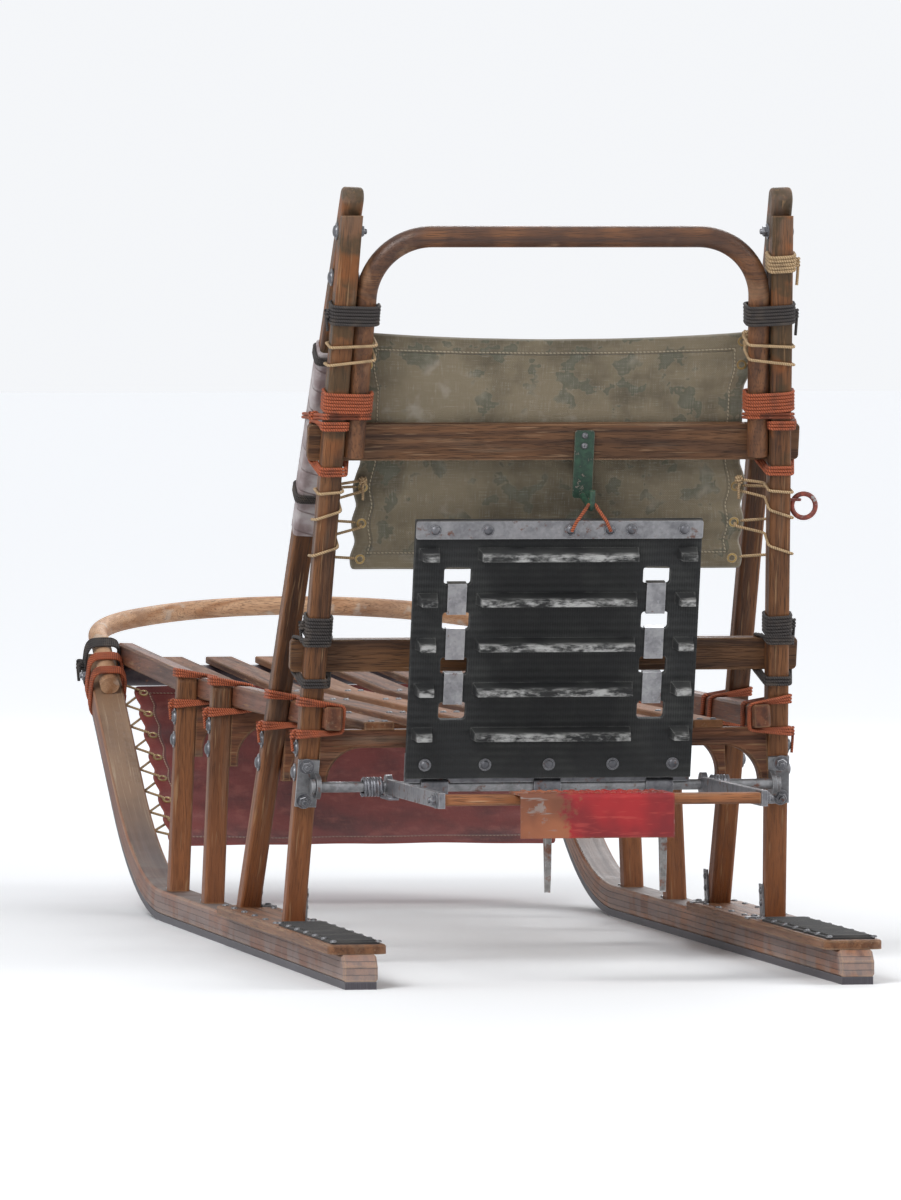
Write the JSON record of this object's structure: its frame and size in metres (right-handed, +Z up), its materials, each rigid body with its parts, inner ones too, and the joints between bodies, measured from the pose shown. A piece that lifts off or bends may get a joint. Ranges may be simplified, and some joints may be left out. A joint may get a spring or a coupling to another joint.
{
  "type": "dog sled",
  "caption": "Wooden basket dog sled with raked back frame, bent handle bow, slatted bed, bent brush bow, rubber drag mat and sprung claw brake on a common pivot rod.",
  "frame": {"origin": "on the floor, in the middle of the sled's length and width", "axes": "+Y forward, the way the sled is pulled; +X to the sled's right; +Z up"},
  "size_m": [0.721, 2.5948, 1.0227],
  "materials": {
    "ash": "weathered varnish",
    "slat_ash": "worn varnish",
    "bow_ash": "bare, rubbed",
    "crossbar_ash": "worn varnish",
    "shoe_plastic": "scuffed",
    "tread_rubber": "matt",
    "mat_rubber": "worn",
    "zinc_steel": "dull zinc",
    "dark_steel": "dark paint, rubbed",
    "green_steel": "dark green paint",
    "red_paint": "red paint, worn edges",
    "ring_coating": "orange-brown coating",
    "apron_canvas": "dark red canvas",
    "back_canvas": "khaki, mottled",
    "splint_tape": "grey wrap"
  },
  "bodies": {
    "sled": {"back_cloth": "back_canvas", "back_slat_lower": "slat_ash", "back_slat_upper": "slat_ash", "bed_slats": "slat_ash", "brush_bow": "bow_ash", "footboard_left": "slat_ash", "footboard_right": "slat_ash", "front_beam": "ash", "front_stanchion_left": "ash", "front_stanchion_right": "ash", "handle_bow": "bow_ash", "mat_hook": "green_steel", "middle_beam": "ash", "middle_stanchion_left": "ash", "middle_stanchion_right": "ash", "nose_apron": "apron_canvas", "nose_bar": "dark_steel", "pivot_bracket_left": "zinc_steel", "pivot_bracket_right": "zinc_steel", "pivot_rod": "zinc_steel", "rear_beam": "ash", "runner_left": "ash", "runner_right": "ash", "shoe_left": "shoe_plastic", "shoe_right": "shoe_plastic", "side_rail_left": "ash", "side_rail_right": "ash", "strut_beam": "ash", "strut_left": "ash", "strut_right": "ash", "strut_splint": "splint_tape", "tether_ring": "ring_coating", "tow_eye": "zinc_steel", "tread_left": "tread_rubber", "tread_right": "tread_rubber", "upright_left": "ash", "upright_right": "ash"},
    "drag_mat": {"mat_bar": "zinc_steel", "mat_belt": "mat_rubber", "mat_clips": "zinc_steel", "mat_hinge": "zinc_steel"},
    "brake": {"brake_arm_left": "zinc_steel", "brake_arm_right": "zinc_steel", "brake_claws": "zinc_steel", "brake_crossbar": "crossbar_ash", "brake_spring_left": "zinc_steel", "brake_spring_right": "zinc_steel", "brake_treadle": "red_paint"}
  },
  "joints": [
    {"name": "mat_hinge_turn", "type": "hinge", "parent": "sled", "child": "drag_mat", "pos_m": [0, -0.83776, 0.23757], "axis": [1, 0, 0], "range_deg": [0, 112]},
    {"name": "brake_hinge_turn", "type": "hinge", "parent": "sled", "child": "brake", "pos_m": [0, -0.83776, 0.23757], "axis": [1, 0, 0], "range_deg": [0, 14], "stiffness_Nm_per_rad": 12, "springref_deg": -51.57}
  ]
}
